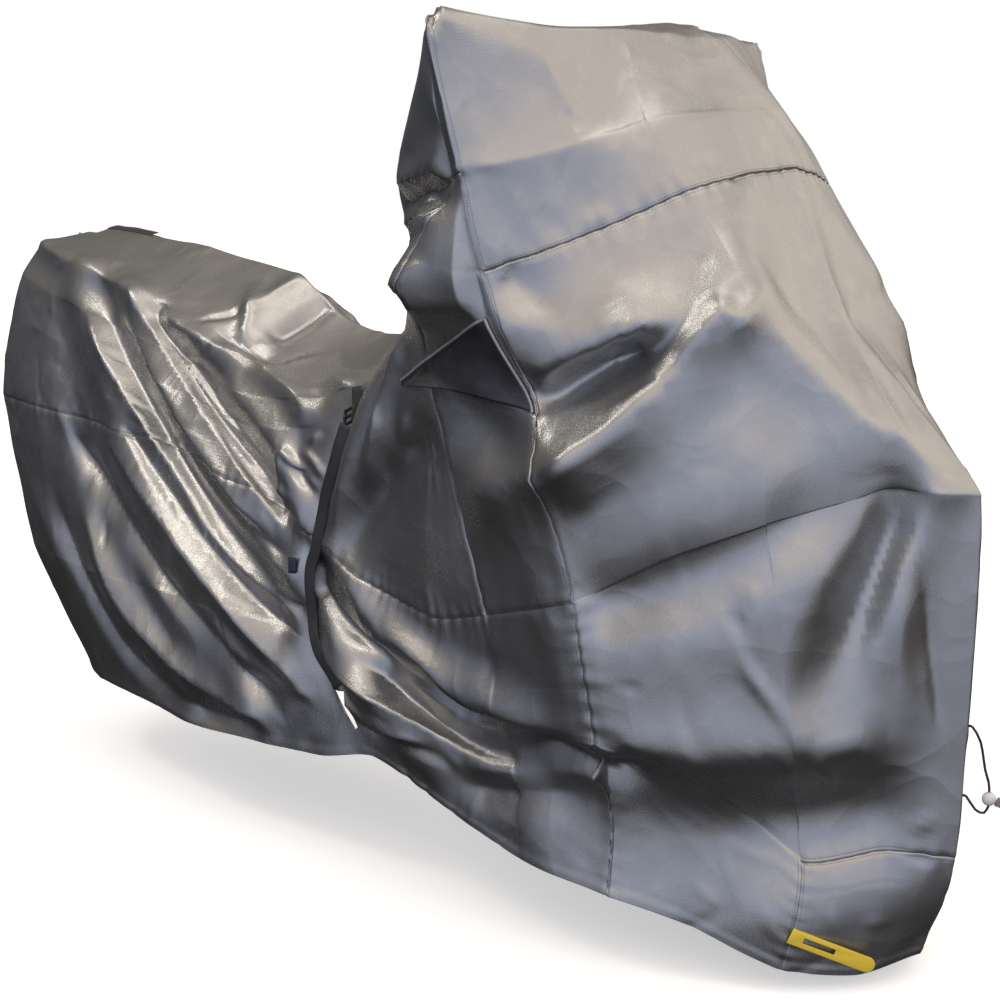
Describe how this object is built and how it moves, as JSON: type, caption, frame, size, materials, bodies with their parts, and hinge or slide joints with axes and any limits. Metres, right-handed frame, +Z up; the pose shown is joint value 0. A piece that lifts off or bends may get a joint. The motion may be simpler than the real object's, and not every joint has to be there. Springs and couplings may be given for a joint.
{
  "type": "motorcycle cover",
  "caption": "Draped hollow fabric cover for a touring motorcycle with sewn panels, waist strap, vent hood, lock loop and drawcord.",
  "frame": {"origin": "on the inner face under the top of the cover, midway between the bar ends", "axes": "+X towards the front wheel, +Y to the rider's left, +Z up"},
  "size_m": [2.3763, 0.8274, 1.4197],
  "materials": {
    "cloth": "satin coated weave",
    "webbing": "woven",
    "vent": "glossy coated weave",
    "buckle": "satin",
    "lock_loop": "woven",
    "toggle": "gloss",
    "cord_tab": "matt"
  },
  "bodies": {
    "root": {"panel_tail": "cloth", "panel_skirt": "cloth", "panel_gusset_right": "cloth", "panel_gusset_left": "cloth", "panel_windshield": "cloth", "panel_front": "cloth", "panel_wheel": "cloth", "vent_hood": "vent", "tail_strip": "webbing", "strap_tab": "webbing", "buckle": "buckle", "waist_strap": "webbing", "label_tab": "webbing", "lock_loop": "lock_loop", "drawcord_upper": "webbing", "drawcord_lower": "webbing", "cord_toggle": "toggle", "cord_tab": "cord_tab"}
  },
  "joints": []
}
